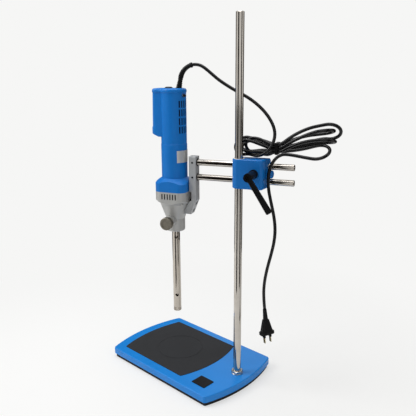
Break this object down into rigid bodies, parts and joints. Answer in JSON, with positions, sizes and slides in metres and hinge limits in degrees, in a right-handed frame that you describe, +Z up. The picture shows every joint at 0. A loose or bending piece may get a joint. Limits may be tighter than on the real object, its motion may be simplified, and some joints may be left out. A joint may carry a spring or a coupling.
{
  "type": "rotor stator homogenizer",
  "caption": "Rotor stator homogenizer: a motor with a dispersing tool, held by a bracket and twin rods in a clamp block on the pole of a plate stand, its mains cord tied in a hank.",
  "frame": {"origin": "centre of the base plate's underside, on the surface it stands on", "axes": "+Z up the pole, +X along the base towards the pole end, +Y to the side away from the front plate"},
  "size_m": [0.4433, 0.2034, 0.7145],
  "materials": {
    "blue_casting": "semi-gloss blue paint",
    "blue_housing": "smooth moulded blue plastic",
    "black_pad": "matt black rubber",
    "black_tray": "black powder coat",
    "charcoal_mat": "fine-textured charcoal rubber",
    "steel_plate": "machined steel",
    "chrome_bar": "polished bar",
    "zinc_steel": "zinc-plated fasteners",
    "dull_steel": "dull knurled steel",
    "tool_steel": "bright ground stainless",
    "grey_casting": "painted grey casting",
    "black_plastic": "moulded black plastic",
    "nylon": "natural nylon",
    "label_blank": "bare rating plate",
    "circuit_board": "green board",
    "copper": "enamelled copper",
    "lamination": "stacked electrical steel",
    "carbon": "carbon",
    "cord_rubber": "black cord sheath",
    "brass_blades": "nickelled brass"
  },
  "bodies": {
    "stand": {"base_cover": "blue_casting", "ballast_plate": "steel_plate", "base_tray": "black_tray", "anti_slip_pad": "black_pad", "tray_screws": "zinc_steel", "work_mat": "charcoal_mat", "front_plate": "black_plastic", "support_rod": "chrome_bar", "rod_washer": "zinc_steel", "rod_nut": "zinc_steel", "rod_bolt": "zinc_steel"},
    "bush": {"pole_bush": "nylon"},
    "clamp": {"clamp_block": "blue_casting", "block_set_screw": "zinc_steel", "block_end_knob": "blue_housing", "cord_lead": "cord_rubber", "cord_hank": "cord_rubber", "cord_tie": "black_plastic", "cord_drop": "cord_rubber", "plug_body": "cord_rubber", "plug_blades": "brass_blades"},
    "front_lever": {"front_lever_handle": "black_plastic", "front_lever_screw": "dull_steel"},
    "back_lever": {"back_lever_handle": "black_plastic", "back_lever_screw": "dull_steel"},
    "arm": {"upper_rod": "chrome_bar", "lower_rod": "chrome_bar", "bracket": "grey_casting", "bracket_bolts": "dull_steel", "rod_grub_screws": "dull_steel", "nose_housing": "grey_casting", "housing_screws": "zinc_steel", "motor_housing": "blue_housing", "rear_housing": "blue_housing", "rating_plate": "label_blank", "toggle_bush": "zinc_steel", "speed_control": "black_plastic", "speed_board": "circuit_board", "shaft_bearings": "zinc_steel", "bearing_bridge": "black_plastic", "field_stack": "lamination", "field_coils": "copper", "brush_carrier": "black_plastic", "brushes": "carbon", "cord_boot": "cord_rubber"},
    "armature": {"armature_shaft": "tool_steel", "armature_core": "lamination", "armature_winding": "copper", "commutator": "copper", "cooling_fan": "black_plastic", "drive_coupling": "dull_steel"},
    "tool": {"tool_tube": "tool_steel", "stator_head": "tool_steel", "shaft_bushes": "nylon"},
    "rotor": {"drive_shaft": "tool_steel", "rotor_head": "tool_steel"},
    "thumb_screw": {"thumb_screw": "dull_steel"},
    "speed_dial": {"speed_dial": "black_plastic"},
    "toggle": {"toggle_lever": "black_plastic"}
  },
  "joints": [
    {"name": "height_slide", "type": "slide", "parent": "stand", "child": "bush", "axis": [0, 0, 1], "range_m": [-0.065, 0.24]},
    {"name": "arm_swivel", "type": "hinge", "parent": "bush", "child": "clamp", "pos_m": [0.12765, 0.0073, 0.433], "axis": [0, 0, 1], "continuous": true},
    {"name": "front_clamp_turn", "type": "hinge", "parent": "clamp", "child": "front_lever", "pos_m": [0.16134, 0.00843, 0.435], "axis": [0.387, -0.9221, 0], "continuous": true},
    {"name": "back_clamp_turn", "type": "hinge", "parent": "clamp", "child": "back_lever", "pos_m": [0.1172, 0.0322, 0.431], "axis": [-0.387, 0.9221, 0], "continuous": true},
    {"name": "arm_slide", "type": "slide", "parent": "clamp", "child": "arm", "axis": [0.9221, 0.387, 0], "range_m": [-0.05, 0.06], "deforming": ["cord_lead"]},
    {"name": "armature_spin", "type": "hinge", "parent": "arm", "child": "armature", "pos_m": [-0.00564, -0.02913, 0.433], "axis": [0, 0, 1], "continuous": true},
    {"name": "tool_release", "type": "slide", "parent": "arm", "child": "tool", "axis": [0, 0, 1], "range_m": [-0.035, 0]},
    {"name": "rotor_spin", "type": "hinge", "parent": "tool", "child": "rotor", "pos_m": [-0.00564, -0.02913, 0.2], "axis": [0, 0, 1], "continuous": true},
    {"name": "thumb_turn", "type": "hinge", "parent": "arm", "child": "thumb_screw", "pos_m": [0.00558, -0.05587, 0.3295], "axis": [0.387, -0.9221, 0], "continuous": true},
    {"name": "dial_turn", "type": "hinge", "parent": "arm", "child": "speed_dial", "pos_m": [-0.01394, -0.03261, 0.579], "axis": [0, 0, -1], "range_deg": [0, 270]},
    {"name": "toggle_tilt", "type": "hinge", "parent": "arm", "child": "toggle", "pos_m": [0.01983, -0.02789, 0.571], "axis": [-0.0483, 0.9988, 0], "range_deg": [-11, 11]}
  ],
  "couplings": [
    {"joint": "rotor_spin", "follows": "armature_spin", "ratio": 1}
  ]
}
